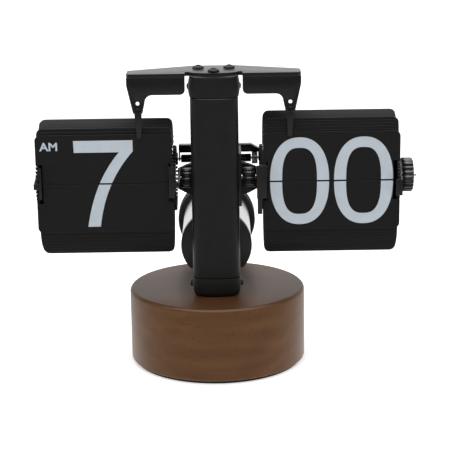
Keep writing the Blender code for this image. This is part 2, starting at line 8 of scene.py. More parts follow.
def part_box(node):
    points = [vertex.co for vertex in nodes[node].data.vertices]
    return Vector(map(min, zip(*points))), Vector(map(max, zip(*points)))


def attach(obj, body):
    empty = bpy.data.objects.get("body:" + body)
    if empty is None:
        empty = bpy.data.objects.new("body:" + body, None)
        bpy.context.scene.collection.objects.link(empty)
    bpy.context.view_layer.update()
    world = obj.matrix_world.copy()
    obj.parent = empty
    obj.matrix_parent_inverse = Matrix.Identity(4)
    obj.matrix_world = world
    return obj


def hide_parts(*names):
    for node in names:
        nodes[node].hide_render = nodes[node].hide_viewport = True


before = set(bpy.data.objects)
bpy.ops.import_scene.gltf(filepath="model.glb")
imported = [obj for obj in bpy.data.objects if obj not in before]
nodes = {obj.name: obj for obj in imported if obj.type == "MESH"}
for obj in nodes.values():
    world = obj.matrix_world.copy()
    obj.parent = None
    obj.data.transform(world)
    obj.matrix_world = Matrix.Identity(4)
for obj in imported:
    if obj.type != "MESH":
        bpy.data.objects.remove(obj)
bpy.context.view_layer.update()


# ------------------------------------ camera, floor and light
# The clock stands on a seamless white table under a large soft overhead light, with white
# walls behind and beside it and a darker room in front, so the black fronts stay black. The
# bright ceiling shows only in glossy surfaces.

CAMERA_PLACE = Vector((0.0050, -0.8, 0.2801))
CAMERA_PITCH = math.radians(75.83)
CAMERA_ROLL = math.radians(-0.85)

camera_data = bpy.data.cameras.new("camera")
camera_data.sensor_width = 36.0
camera_data.lens = 115.7
camera_data.clip_start = 0.01
camera = bpy.data.objects.new("camera", camera_data)
camera.matrix_world = (Matrix.Translation(CAMERA_PLACE) @ Matrix.Rotation(CAMERA_PITCH, 4, "X")
                       @ Matrix.Rotation(CAMERA_ROLL, 4, "Z"))
bpy.context.scene.collection.objects.link(camera)
bpy.context.scene.camera = camera
bpy.context.scene.view_settings.view_transform = "Standard"

floor_mesh = bpy.data.meshes.new("floor")
floor_bm = bmesh.new()
bmesh.ops.create_grid(floor_bm, x_segments=1, y_segments=1, size=6.0)
floor_bm.to_mesh(floor_mesh)
floor_bm.free()
floor = bpy.data.objects.new("floor", floor_mesh)
bpy.context.scene.collection.objects.link(floor)
floor_paper = bpy.data.materials.new("white_table")
floor_paper.use_nodes = True
paper = floor_paper.node_tree.nodes["Principled BSDF"]
paper.inputs["Base Color"].default_value = (0.9, 0.9, 0.9, 1.0)
paper.inputs["Roughness"].default_value = 0.9
paper.inputs["Specular IOR Level"].default_value = 0.1
paper.inputs["Emission Color"].default_value = (1.0, 1.0, 1.0, 1.0)
paper.inputs["Emission Strength"].default_value = 0.55
floor_mesh.materials.append(floor_paper)
floor.visible_glossy = False


def ranged(tree, link, source, low, high, start=0.0, end=1.0):
    """A value moved from one range, 0 to 1 if none is given, into another."""
    span = tree.new("ShaderNodeMapRange")
    for name, value in (("From Min", start), ("From Max", end), ("To Min", low), ("To Max", high)):
        span.inputs[name].default_value = value
    link(source, span.inputs["Value"])
    return span.outputs["Result"]


def worked_out(tree, link, operation, first, second):
    """Two values put together by one sum."""
    sum_node = tree.new("ShaderNodeMath")
    sum_node.operation = operation
    link(first, sum_node.inputs[0])
    link(second, sum_node.inputs[1])
    return sum_node.outputs["Value"]


world = bpy.data.worlds.new("studio")
bpy.context.scene.world = world
world.use_nodes = True
sky, wire = world.node_tree.nodes, world.node_tree.links.new
sky.clear()
split = sky.new("ShaderNodeSeparateXYZ")
wire(sky.new("ShaderNodeTexCoord").outputs["Generated"], split.inputs["Vector"])
rays = sky.new("ShaderNodeLightPath")
walls = ranged(sky, wire, split.outputs["Y"], 0.13, 1.25, -0.75, 0.80)
walls.node.interpolation_type = "SMOOTHSTEP"
near_table = ranged(sky, wire, split.outputs["Z"], 0.0, 0.6, -0.12, -0.45)
ceiling = ranged(sky, wire, split.outputs["Z"], 0.0, 4.5, 0.45, 0.75)
ceiling_gloss = worked_out(sky, wire, "MULTIPLY", ceiling, rays.outputs["Is Glossy Ray"])
room_light = worked_out(sky, wire, "MAXIMUM", walls, ceiling_gloss)
room = sky.new("ShaderNodeBackground")
wire(worked_out(sky, wire, "ADD", room_light, near_table), room.inputs["Strength"])
backdrop = sky.new("ShaderNodeBackground")
backdrop.inputs["Strength"].default_value = 1.05
blend = sky.new("ShaderNodeMixShader")
wire(rays.outputs["Is Camera Ray"], blend.inputs["Fac"])
wire(room.outputs["Background"], blend.inputs[1])
wire(backdrop.outputs["Background"], blend.inputs[2])
wire(blend.outputs["Shader"], sky.new("ShaderNodeOutputWorld").inputs["Surface"])

overhead = bpy.data.lights.new("overhead", "AREA")
overhead.size = 1.6
overhead.energy = 17.0
lamp = bpy.data.objects.new("overhead", overhead)
lamp.location = (0.0, -0.30, 1.4)
lamp.rotation_euler = (Vector((0, -0.20, 0.05)) - lamp.location).to_track_quat("-Z", "Y").to_euler()
bpy.context.scene.collection.objects.link(lamp)


# ------------------------------------ wooden base
# A solid round of walnut-stained hardwood, turned on a lathe with a small round on its top
# edge, then sealed with a satin lacquer. Two bolts come up through it into the post.


def fine_variation_group():
    """Shader group: soft cloudy shade, a fine speck mask and a surface height, from a position."""
    group = bpy.data.node_groups.new("fine_variation", "ShaderNodeTree")
    group.interface.new_socket("Vector", in_out="INPUT", socket_type="NodeSocketVector")
    scale = group.interface.new_socket("Scale", in_out="INPUT", socket_type="NodeSocketFloat")
    scale.default_value = 400.0
    for name in ("Cloud", "Speck", "Height"):
        group.interface.new_socket(name, in_out="OUTPUT", socket_type="NodeSocketFloat")
    tree = group.nodes
    given = tree.new("NodeGroupInput")
    result = tree.new("NodeGroupOutput")
    link = group.links.new
    slow = tree.new("ShaderNodeMath")
    slow.operation = "MULTIPLY"
    slow.inputs[1].default_value = 0.12
    link(given.outputs["Scale"], slow.inputs[0])
    cloud, grain = tree.new("ShaderNodeTexNoise"), tree.new("ShaderNodeTexNoise")
    for noise, detail, scale in ((cloud, 4.0, slow.outputs["Value"]), (grain, 2.0, given.outputs["Scale"])):
        noise.inputs["Detail"].default_value = detail
        link(given.outputs["Vector"], noise.inputs["Vector"])
        link(scale, noise.inputs["Scale"])
    link(cloud.outputs["Fac"], result.inputs["Cloud"])
    link(ranged(tree, link, grain.outputs["Fac"], 0.0, 1.0, 0.60, 0.72), result.inputs["Speck"])
    link(grain.outputs["Fac"], result.inputs["Height"])
    return group


def edge_wear_and_highlight_group():
    """Shader group: a mask that is 1 where a rounded-off corner would catch hands and cloths, and light; it
    pales edges for wear and for a painted highlight.
    """
    group = bpy.data.node_groups.new("edge_wear_and_highlight", "ShaderNodeTree")
    width = group.interface.new_socket("Width", in_out="INPUT", socket_type="NodeSocketFloat")
    width.default_value = 0.0004
    group.interface.new_socket("Mask", in_out="OUTPUT", socket_type="NodeSocketFloat")
    tree = group.nodes
    given = tree.new("NodeGroupInput")
    result = tree.new("NodeGroupOutput")
    rounded = tree.new("ShaderNodeBevel")
    rounded.samples = 4
    surface = tree.new("ShaderNodeNewGeometry")
    facing = tree.new("ShaderNodeVectorMath")
    facing.operation = "DOT_PRODUCT"
    link = group.links.new
    link(given.outputs["Width"], rounded.inputs["Radius"])
    link(rounded.outputs["Normal"], facing.inputs[0])
    link(surface.outputs["Normal"], facing.inputs[1])
    link(ranged(tree, link, facing.outputs["Value"], 0.0, 1.0, 0.995, 0.86), result.inputs["Mask"])
    return group


FINE_VARIATION = fine_variation_group()
# The edge mask pales rounded edges: partly wear, partly painted highlight.
EDGE_WEAR_AND_HIGHLIGHT = edge_wear_and_highlight_group()


def new_surface(name, roughness, metallic=0.0, specular=0.5, coat=0.0, coat_roughness=0.2):
    """An empty material with its constant values set on the shader itself."""
    made = bpy.data.materials.new(name)
    made.use_nodes = True
    shader = made.node_tree.nodes["Principled BSDF"]
    for socket, value in (("Roughness", roughness), ("Metallic", metallic), ("Specular IOR Level", specular),
                          ("Coat Weight", coat), ("Coat Roughness", coat_roughness)):
        shader.inputs[socket].default_value = value
    return made, made.node_tree.nodes, made.node_tree.links.new, shader


def varied(tree, link, scale, place=None):
    """The fine variation group at a scale, laid over the piece's own position."""
    fine = tree.new("ShaderNodeGroup")
    fine.node_tree = FINE_VARIATION
    fine.inputs["Scale"].default_value = scale
    link(place or tree.new("ShaderNodeTexCoord").outputs["Object"], fine.inputs["Vector"])
    return fine.outputs


def mixed(tree, link, factor, first, second):
    """A colour between two, by a factor. Either may be a socket or a plain colour."""
    mix = tree.new("ShaderNodeMix")
    mix.data_type = "RGBA"
    link(factor, mix.inputs["Factor"])
    for socket, value in ((mix.inputs["A"], first), (mix.inputs["B"], second)):
        if isinstance(value, tuple):
            socket.default_value = (*value, 1.0)
        else:
            link(value, socket)
    return mix.outputs["Result"]


def bumped(tree, link, shader, height, strength, distance):
    """A small relief under the highlights."""
    bump = tree.new("ShaderNodeBump")
    bump.inputs["Strength"].default_value = strength
    bump.inputs["Distance"].default_value = distance
    link(height, bump.inputs["Height"])
    link(bump.outputs["Normal"], shader.inputs["Normal"])


def drawn_noise(tree, link, stretch, detail):
    """Noise on the piece's own position, with its own scale along each way."""
    drawn = tree.new("ShaderNodeMapping")
    drawn.inputs["Scale"].default_value = stretch
    link(tree.new("ShaderNodeTexCoord").outputs["Object"], drawn.inputs["Vector"])
    noise = tree.new("ShaderNodeTexNoise")
    noise.inputs["Scale"].default_value = 1.0
    noise.inputs["Detail"].default_value = detail
    link(drawn.outputs["Vector"], noise.inputs["Vector"])
    return noise.outputs["Fac"]


def stained_wood():
    """Straight-grained wood under brown stain: streaks, ring bands, dark pores, satin lacquer.

    The flat top is painted darker than the side, as painted shade, and the edges are paled, partly wear and
    partly painted highlight."""
    made, tree, link, shader = new_surface("stained_walnut", 0.5, specular=0.20, coat=0.06, coat_roughness=0.25)
    streaks = drawn_noise(tree, link, (14.0, 90.0, 160.0), 6.0)
    heart = tree.new("ShaderNodeMapping")
    heart.inputs["Location"].default_value = (0.0, 0.004, 0.052)
    heart.inputs["Scale"].default_value = (0.25, 1.0, 1.0)
    link(tree.new("ShaderNodeTexCoord").outputs["Object"], heart.inputs["Vector"])
    rings = tree.new("ShaderNodeTexWave")
    rings.wave_type = "RINGS"
    rings.rings_direction = "X"
    for socket, value in (("Scale", 28.0), ("Distortion", 5.0), ("Detail", 3.0), ("Detail Scale", 2.2)):
        rings.inputs[socket].default_value = value
    link(heart.outputs["Vector"], rings.inputs["Vector"])
    pores = drawn_noise(tree, link, (90.0, 1400.0, 1400.0), 2.0)
    tone = mixed(tree, link, streaks, (0.081, 0.0305, 0.0083), (0.172, 0.079, 0.0272))
    ring_amount = ranged(tree, link, rings.outputs["Fac"], 0.0, 0.30)
    tone = mixed(tree, link, ring_amount, tone, (0.088, 0.037, 0.011))
    pore_amount = ranged(tree, link, pores, 0.0, 0.5, 0.60, 0.74)
    tone = mixed(tree, link, pore_amount, tone, (0.026, 0.012, 0.007))
    # Painted shade: faces turned up are darkened towards a deep brown.
    facing = tree.new("ShaderNodeSeparateXYZ")
    link(tree.new("ShaderNodeNewGeometry").outputs["Normal"], facing.inputs["Vector"])
    top_painted_shade = ranged(tree, link, facing.outputs["Z"], 0.0, 0.6)
    tone = mixed(tree, link, top_painted_shade, tone, (0.030, 0.0085, 0.0020))
    # Rounded edges paled towards a light brown: partly wear, partly painted highlight.
    edge_wear_highlight = tree.new("ShaderNodeGroup")
    edge_wear_highlight.node_tree = EDGE_WEAR_AND_HIGHLIGHT
    edge_wear_highlight.inputs["Width"].default_value = 0.0009
    edge_wear_highlight_amount = ranged(tree, link, edge_wear_highlight.outputs["Mask"], 0.0, 0.25)
    tone = mixed(tree, link, edge_wear_highlight_amount, tone, (0.21, 0.115, 0.062))
    link(tone, shader.inputs["Base Color"])
    link(ranged(tree, link, streaks, 0.34, 0.47), shader.inputs["Roughness"])
    bumped(tree, link, shader, pores, 0.10, 0.0002)
    return made


def finished_piece(name, bm, surface, body, stands_for=(), sharp=35.0):
    """Close a mesh, point its faces out, shade it and hang it on its body."""
    bmesh.ops.remove_doubles(bm, verts=bm.verts, dist=1e-7)
    bmesh.ops.recalc_face_normals(bm, faces=bm.faces)
    mesh = bpy.data.meshes.new(name)
    bm.to_mesh(mesh)
    bm.free()
    mesh.shade_smooth()
    mesh.set_sharp_from_angle(angle=math.radians(sharp))
    mesh.materials.append(surface)
    piece = bpy.data.objects.new(name, mesh)
    bpy.context.scene.collection.objects.link(piece)
    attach(piece, body)
    if stands_for:
        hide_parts(*stands_for)
    return piece


def spun(profile, steps=96):
    """A bmesh turned about Z from the (radius, height) points of one half of a section."""
    bm = bmesh.new()
    ring = [bm.verts.new((radius, 0.0, height)) for radius, height in profile]
    edges = [bm.edges.new(pair) for pair in zip(ring, ring[1:] + ring[:1]) if pair[0].co.x + pair[1].co.x > 0]
    bmesh.ops.spin(bm, geom=ring + edges, cent=(0, 0, 0), axis=(0, 0, 1),
                   angle=2 * math.pi, steps=steps, use_merge=True)
    return bm


def arc(cx, cy, radius, start, end, steps):
    """Points along an arc, with both ends, angles in degrees."""
    return [(cx + radius * math.cos(math.radians(start + (end - start) * i / steps)),
             cy + radius * math.sin(math.radians(start + (end - start) * i / steps)))
            for i in range(steps + 1)]


WOOD = stained_wood()
base_low, base_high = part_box("base_block")
base_radius = base_high.x
edge_round = 0.0022
foot_round = 0.0009
base_profile = [(0.0, base_low.z)]
base_profile += arc(base_radius - foot_round, base_low.z + foot_round, foot_round, -90, 0, 4)
base_profile += arc(base_radius - edge_round, base_high.z - edge_round, edge_round, 0, 90, 8)
base_profile += [(base_radius * 0.6, base_high.z), (0.0, base_high.z)]
finished_piece("turned_base", spun(base_profile, 192), WOOD, "frame", ["base_block"])


# ------------------------------------ felt pad and base bolts
# A black felt disc is glued under the base. The two bolts are plain turned steel, sunk in
# counterbores, and the other bare steel parts have their finish.


def felt():
    """Short black fibres: cloudy shade and a rough surface."""
    made, tree, link, shader = new_surface("black_felt", 0.95, specular=0.1)
    fine = varied(tree, link, 1800.0)
    link(mixed(tree, link, fine["Cloud"], (0.012, 0.012, 0.012), (0.035, 0.034, 0.033)),
         shader.inputs["Base Color"])
    bumped(tree, link, shader, fine["Height"], 0.6, 0.0003)
    return made


pad_low, pad_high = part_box("base_pad")
pad_profile = [(0.0, pad_low.z)]
pad_round = 0.0005
pad_profile += arc(pad_high.x - pad_round, pad_low.z + pad_round, pad_round, -90, 0, 3)
pad_profile += [(pad_high.x, pad_high.z), (0.0, pad_high.z)]
finished_piece("felt_pad", spun(pad_profile), felt(), "frame", ["base_pad"])


def turned_steel():
    """Bright lathe-turned steel: fine rings across the turning axis, a little darker in patches."""
    made, tree, link, shader = new_surface("turned_steel", 0.28, metallic=1.0)
    fine = varied(tree, link, 2600.0)
    link(mixed(tree, link, fine["Cloud"], (0.44, 0.44, 0.43), (0.68, 0.68, 0.67)), shader.inputs["Base Color"])
    link(ranged(tree, link, fine["Cloud"], 0.20, 0.38), shader.inputs["Roughness"])
    bumped(tree, link, shader, fine["Height"], 0.15, 0.00003)
    return made


def coated(names, surface):
    """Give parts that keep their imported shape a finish."""
    for name in names:
        nodes[name].data.materials.clear()
        nodes[name].data.materials.append(surface)


STEEL = turned_steel()
coated(("base_bolt_left", "base_bolt_right", "hour_axle", "transfer_shaft", "battery_contact"),
       STEEL)


# ------------------------------------ column and its two collars
# A pressed steel channel with a full round front, between two die-cast collars that stand a
# little proud of it. All three have one coat of satin black paint with a slight orange peel,
# and each collar is held by a small round-headed screw on either side.


def black_finish(name, colour, roughness, specular, peel, peel_scale, edge_wear_highlight=0.3, coat=0.0):
    """Black paint or moulding: colour and sheen vary a little, paler along its edges, partly wear and partly
    painted highlight.
    """
    made, tree, link, shader = new_surface(name, roughness, specular=specular, coat=coat)
    fine = varied(tree, link, peel_scale)
    edge = tree.new("ShaderNodeGroup")
    edge.node_tree = EDGE_WEAR_AND_HIGHLIGHT
    low = tuple(0.80 * c for c in colour)
    high = tuple(1.25 * c for c in colour)
    pale = tuple(min(1.0, 2.2 * c + 0.01) for c in colour)
    tone = mixed(tree, link, fine["Cloud"], low, high)
    # Edges paled: partly wear, partly painted highlight.
    tone = mixed(tree, link, ranged(tree, link, edge.outputs["Mask"], 0.0, edge_wear_highlight), tone, pale)
    tone = mixed(tree, link, ranged(tree, link, fine["Speck"], 0.0, 0.12), tone, pale)
    link(tone, shader.inputs["Base Color"])
    link(ranged(tree, link, fine["Cloud"], roughness - 0.06, roughness + 0.07), shader.inputs["Roughness"])
    bumped(tree, link, shader, fine["Height"], peel, 0.00004)
    return made


def column_section(half, front, back, steps=28):
    """Plan of the column as X and Y points: flat sides and a full round front, going left to right."""
    shoulder = -0.0195
    reach = shoulder - front
    points = [(-half, back)]
    for i in range(steps + 1):
        angle = math.pi * i / steps
        across = math.copysign(abs(math.cos(angle)) ** 0.8, math.cos(angle))
        points.append((-half * across, shoulder - reach * math.sin(angle) ** 0.8))
    return points + [(half, back)]


def looped(bm, points):
    """The edges of a closed loop through points."""
    ring = [bm.verts.new(point) for point in points]
    return [bm.edges.new(pair) for pair in zip(ring, ring[1:] + ring[:1])]


def stacked(levels, section):
    """A bmesh skinned over one closed section at several heights: (z, side inset, front inset)."""
    bm = bmesh.new()
    rings = [looped(bm, [(x, y, z) for x, y in section(side, face)]) for z, side, face in levels]
    for low, high in zip(rings, rings[1:]):
        bmesh.ops.bridge_loops(bm, edges=low + high)
    bmesh.ops.edgeloop_fill(bm, edges=rings[0])
    bmesh.ops.edgeloop_fill(bm, edges=rings[-1])
    return bm


COLUMN_PAINT = black_finish("column_paint", (0.0060, 0.0065, 0.0060), 0.42, 0.36, 0.12, 1500.0)
cover_low, cover_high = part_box("column_cover")
half, front, back = cover_high.x, cover_low.y, cover_high.y
wall, break_edge = 0.0018, 0.0003


def solid_section(side, face):
    """The column's plan, drawn in at the sides and the front."""
    return column_section(half - side, front + face, back)


def cover_section(side, face):
    """The same plan with its inside cut away to the wall."""
    return solid_section(side, face) + solid_section(wall, wall)[::-1]


cover_levels = [(cover_low.z, break_edge, break_edge), (cover_low.z + break_edge, 0, 0),
                (cover_high.z - break_edge, 0, 0), (cover_high.z, break_edge, break_edge)]
finished_piece("column_channel", stacked(cover_levels, cover_section), COLUMN_PAINT, "frame",
               ["column_cover"])

foot_low, foot_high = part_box("column_foot_collar")
foot_rise, foot_side_round, foot_front_round = 0.0034, 0.0021, 0.0016
foot_levels = []
for i in range(9):
    turn = math.radians(90 * i / 8)
    drawn_in = 1 - math.sin(turn)
    foot_levels.append((foot_low.z + foot_rise * (1 - math.cos(turn)), foot_side_round * drawn_in,
                        foot_front_round * drawn_in))
foot_levels += [(foot_high.z - 0.0006, -0.0002, 0.0), (foot_high.z - 0.0002, -0.0001, 0.0001),
                (foot_high.z, 0.0003, 0.0004)]
finished_piece("foot_collar", stacked(foot_levels, solid_section), COLUMN_PAINT, "frame",
               ["column_foot_collar"])

top_low, top_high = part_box("column_top_collar")
top_height = top_high.z - top_low.z
belly, top_drop, top_side_round, top_front_round = 0.0008, 0.0018, 0.0016, 0.0014
top_levels = [(top_low.z, 0.0003, 0.0003), (top_low.z + 0.0004, -0.0003, 0.0)]
top_levels += [(top_low.z + top_height * share, -belly * math.sin(math.pi * share / 0.9) - 0.0002, 0.0)
               for share in (0.15, 0.3, 0.45, 0.6, 0.75)]
for i in range(7):
    turn = math.radians(90 * i / 6)
    drawn_in = 1 - math.cos(turn)
    top_levels.append((top_high.z - top_drop * (1 - math.sin(turn)), -0.0003 + top_side_round * drawn_in,
                       top_front_round * drawn_in))
finished_piece("top_collar", stacked(top_levels, solid_section), COLUMN_PAINT, "frame",
               ["column_top_collar"])
coated(("lower_post", "upper_post"), COLUMN_PAINT)


def domed_head(radius, height, recess):
    """Round head along +Z from its seat, with a hexagon recess if one is asked for."""
    profile = [(0.0, 0.0), (radius * 0.97, 0.0), (radius, height * 0.12)]
    profile += [(radius * math.cos(math.radians(a)), height * (0.12 + 0.88 * math.sin(math.radians(a))))
                for a in (12, 24, 36, 48, 58, 66)]
    flat = radius * math.cos(math.radians(66))
    if not recess:
        return spun(profile + [(flat * 0.5, height * 0.985), (0.0, height)], 40)
    bm = spun(profile + [(flat * 0.999, height * 0.985), (0.0, height * 0.985)], 48)
    socket = bmesh.ops.create_cone(bm, cap_ends=True, segments=6, radius1=flat * 0.62, radius2=flat * 0.86,
                                   depth=height * 0.75)["verts"]
    bmesh.ops.translate(bm, verts=socket, vec=(0, 0, height * 0.7))
    return bm


SCREW_BLACK = black_finish("screw_black", (0.0045, 0.0045, 0.0047), 0.42, 0.16, 0.10, 2600.0, edge_wear_highlight=0.25)


def placed(bm, turn, at):
    """Move a bmesh made along +Z to lie along another axis, at a point."""
    bmesh.ops.transform(bm, matrix=Matrix.Translation(at) @ turn, verts=bm.verts)
    return bm


collar_side = 0.0136
for level, collar in (("foot", foot_low.z + 0.0062), ("top", top_low.z + 0.0058)):
    for side, sign in (("left", -1), ("right", 1)):
        sideways = Matrix.Rotation(sign * math.pi / 2, 4, "Y")
        head = placed(domed_head(0.0019, 0.0013, False), sideways, (sign * collar_side, -0.0185, collar))
        finished_piece(f"{level}_side_screw_{side}", head, SCREW_BLACK, "frame",
                       [f"{level}_screw_{side}"], sharp=50)


# ------------------------------------ wing bracket
# One piece of 1.2 mm sheet steel with a front flange folded down from either wing. Each flange
# runs out into a tapered leg with a see-through hole. Satin black paint, held on top of the
# column by three domed socket screws, so the flat top picks up the sky and the fold is soft.

BRACKET_PAINT = black_finish("bracket_paint", (0.0050, 0.0052, 0.0050), 0.32, 0.48, 0.10, 1900.0, edge_wear_highlight=0.45)
FACE_FRONT = Matrix.Rotation(math.pi / 2, 4, "X")
SHEET = 0.0012


def filled(bm, outlines):
    """A flat face within one outline and outside the others."""
    edges = [edge for outline in outlines for edge in looped(bm, outline)]
    bmesh.ops.triangle_fill(bm, use_beauty=True, use_dissolve=False, edges=edges)


def thickened(bm, vec):
    """Extrude every face of a flat bmesh."""
    raised = bmesh.ops.extrude_face_region(bm, geom=bm.faces[:])
    top = [v for v in raised["geom"] if isinstance(v, bmesh.types.BMVert)]
    bmesh.ops.translate(bm, verts=top, vec=vec)


def cut_sheet(outlines, start, end, soften, segments=2):
    """A flat outline less its holes, raised along Z, with every sharp edge softened."""
    bm = bmesh.new()
    filled(bm, [[(x, y, start) for x, y in outline] for outline in outlines])
    thickened(bm, (0, 0, end - start))
    bmesh.ops.recalc_face_normals(bm, faces=bm.faces)
    if soften:
        crease(bm, bm.edges, soften, segments, 60)
    return bm


def crease(bm, edges, width, segments, over):
    """Round every edge that turns by more than an angle in degrees."""
    sharp = [e for e in edges if e.is_manifold and e.calc_face_angle() > math.radians(over)]
    bmesh.ops.bevel(bm, geom=sharp, offset=width, segments=segments, profile=0.5, affect="EDGES",
                    material=-1, clamp_overlap=True)


def ring_points(radius, count, x=0.0, y=0.0):
    """Points evenly spaced round a circle."""
    return [(x + radius * math.cos(2 * math.pi * i / count),
             y + radius * math.sin(2 * math.pi * i / count)) for i in range(count)]


plate_low, plate_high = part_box("bracket")
wing_end, fold_line, plate_top = plate_high.x + 0.0006, plate_low.y, plate_high.z
leg_x, leg_end = 0.0413, plate_low.z
fold, corner = 0.0020, 0.0025
slit_x, nose_y = 0.0156, -0.0200
plan = [(-wing_end + corner, fold_line), (-slit_x, fold_line), (-slit_x, nose_y)]
plan += [(0.0132 * x, nose_y + 0.0064 * y) for x, y in arc(0, 0, 1, 180, 360, 24)]
plan += [(slit_x, nose_y), (slit_x, fold_line), (wing_end - corner, fold_line)]
plan += arc(wing_end - corner, fold_line + corner, corner, -90, 0, 5)[1:]
plan += [(wing_end, -0.0130), (wing_end - 0.0012, -0.0118), (0.0118, 0.0046), (-0.0118, 0.0046),
         (-wing_end + 0.0012, -0.0118), (-wing_end, -0.0130)]
plan += arc(-wing_end + corner, fold_line + corner, corner, 180, 270, 5)[:-1]
wings = cut_sheet([plan], plate_top - fold - 0.0002, plate_top, 0)
front_rim = {v for v in wings.verts if v.co.z > plate_top - 1e-5 and v.co.y < fold_line + corner + 0.0001
             and abs(v.co.x) > slit_x - 0.0001}
folds = [e for e in wings.edges if front_rim.issuperset(e.verts) and e.calc_face_angle(0) > 1]
bmesh.ops.bevel(wings, geom=folds, offset=fold, segments=8, profile=0.5, affect="EDGES", material=-1,
                clamp_overlap=True)
crease(wings, wings.edges, 0.0002, 2, 60)


def copied_into(bm, part, places):
    """Put a copy of one bmesh into another at each place, and free the first."""
    spare = bpy.data.meshes.new("spare")
    for place in places:
        copy = part.copy()
        bmesh.ops.transform(copy, matrix=place, verts=copy.verts)
        copy.to_mesh(spare)
        copy.free()
        bm.from_mesh(spare)
    part.free()
    bpy.data.meshes.remove(spare)


leg_top, leg_foot, hole_height, hole_radius = 0.0026, 0.0020, 0.1530, 0.00105
flange_outline = [(slit_x, plate_top - fold)]
flange_outline += arc(0.0183, 0.1602, 0.0027, 180, 270, 6) + arc(0.0335, 0.1535, 0.0040, 90, 0, 6)
flange_outline += [(leg_x - leg_top, leg_end + 0.0006), (leg_x - leg_foot, leg_end),
                   (leg_x + leg_foot, leg_end), (leg_x + leg_top, leg_end + 0.0006),
                   (wing_end - 0.0003, 0.1615), (wing_end, 0.1632), (wing_end, plate_top - fold)]
for sign in (-1, 1):
    outline = [(sign * x, z) for x, z in flange_outline]
    hole = ring_points(hole_radius, 28, sign * leg_x, hole_height)
    flange = cut_sheet([outline, hole], -fold_line - SHEET, -fold_line, 0.0002)
    copied_into(wings, flange, [FACE_FRONT])
finished_piece("wing_bracket", wings, BRACKET_PAINT, "frame", ["bracket"], sharp=50)

for name in ("bracket_screw_left", "bracket_screw_right", "bracket_screw_front"):
    seat_low, seat_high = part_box(name)
    middle = (seat_low + seat_high) / 2
    head = domed_head(0.0033, seat_high.z - seat_low.z, True)
    bmesh.ops.translate(head, verts=head.verts, vec=(middle.x, middle.y, seat_low.z))
    finished_piece(f"top_{name}", head, SCREW_BLACK, "frame", [name], sharp=50)


# ------------------------------------ catch arms and their rivets
# A narrow spring strip is riveted behind each leg and reaches down to the top edge of the front
# leaf, which it holds back until the next minute or hour. Painted with the bracket.


def softened(node, width, segments=2, over=30):
    """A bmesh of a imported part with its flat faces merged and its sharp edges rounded."""
    bm = bmesh.new()
    bm.from_mesh(nodes[node].data)
    bmesh.ops.remove_doubles(bm, verts=bm.verts, dist=1e-6)
    bmesh.ops.dissolve_limit(bm, angle_limit=math.radians(2), verts=bm.verts, edges=bm.edges)
    bmesh.ops.recalc_face_normals(bm, faces=bm.faces)
    crease(bm, bm.edges, width, segments, over)
    return bm


for side in ("hour", "minute"):
    strip = softened(f"{side}_catch_arm", 0.00015, 2, 45)
    for vert in strip.verts:
        if vert.co.z > 0.1500:
            vert.co.z -= 0.0020
        elif vert.co.z < 0.1400:
            vert.co.z -= 0.0026
    finished_piece(f"{side}_catch_strip", strip, BRACKET_PAINT, f"{side}_catch",
                   [f"{side}_catch_arm"])
for side, sign in (("left", -1), ("right", 1)):
    head = placed(domed_head(0.0015, 0.0009, False), FACE_FRONT, (sign * leg_x, fold_line, 0.1490))
    finished_piece(f"leg_rivet_{side}", head, SCREW_BLACK, "frame",
                   [f"catch_rivet_{side}"], sharp=50)


# ------------------------------------ guards in front of the discs
# Folded black stops on the axle line. The inner ones end in a square block in front of the
# leaves' inner notch, and the outer ones wrap round the outer discs.

GUARD_BLACK = black_finish("guard_black", (0.0110, 0.0110, 0.0115), 0.34, 0.35, 0.08, 2200.0, edge_wear_highlight=0.7)
for side in ("hour", "minute"):
    for end in ("inner", "outer"):
        finished_piece(f"{side}_{end}_stop", softened(f"{side}_{end}_guard", 0.00025, 2, 40), GUARD_BLACK,
                       "frame", [f"{side}_{end}_guard"])


# ------------------------------------ leaves
# Thin matt black plastic leaves, 48 for the hours and 60 for the minutes. Each hangs by two
# small pivots in the drum's discs, has round outer corners and a notch at both ends that
# clears the discs. Those that have fallen hang down in front, the others lean back behind.

# The leaves' edges are painted pale: a painted highlight along each edge.
LEAF_BLACK = black_finish("leaf_black", (0.0070, 0.0072, 0.0070), 0.52, 0.21, 0.10, 3200.0, edge_wear_highlight=0.9)
drum_y, drum_z = -0.0064, 0.1075
drum_shift = 0.0016
pin_radius, leaf_length = 0.0160, 0.0272
leaf_in, leaf_out = 0.0248, 0.1001
hinge_z = 0.10815
leaf_front, leaf_back = -0.0226, -0.0221
pack_front = leaf_back + 0.0003


def leaf_sheet(sign, inner, outer, lift, thick, soften, corners):
    """One leaf lying in local X and Y, hinged on the X axis, raised along Z by its thickness."""
    near, notch, radius, neck_in, neck_out = 0.0002, 0.0110, 0.0030, 0.0273, 0.0964
    middle = near + leaf_length - radius
    points = [(neck_in, near), (neck_in, notch), (inner, notch)]
    points += arc(inner + radius, middle, radius, 180, 90, corners)
    points += arc(outer - radius, middle, radius, 90, 0, corners)
    points += [(outer, notch), (neck_out, notch), (neck_out, near)]
    return cut_sheet([[(drum_shift + sign * x, lift * y) for x, y in points]], 0.0, thick, soften, 1)


def lean_of(turn, upright, crest):
    """Lean in degrees of a leaf waiting its turn, whose pivot is this far round from the front."""
    if turn <= upright:
        return 90.0
    if turn <= crest:
        return 66.0 - 6.0 * (turn - upright) / (crest - upright)
    return 60.0 - 143.0 * (turn - crest) / (180.0 - crest)


def pivot_at(turn):
    """Depth and height of a leaf's pivot that far round from the front, in degrees."""
    return (drum_y - pin_radius * math.cos(math.radians(turn)),
            drum_z + pin_radius * math.sin(math.radians(turn)))


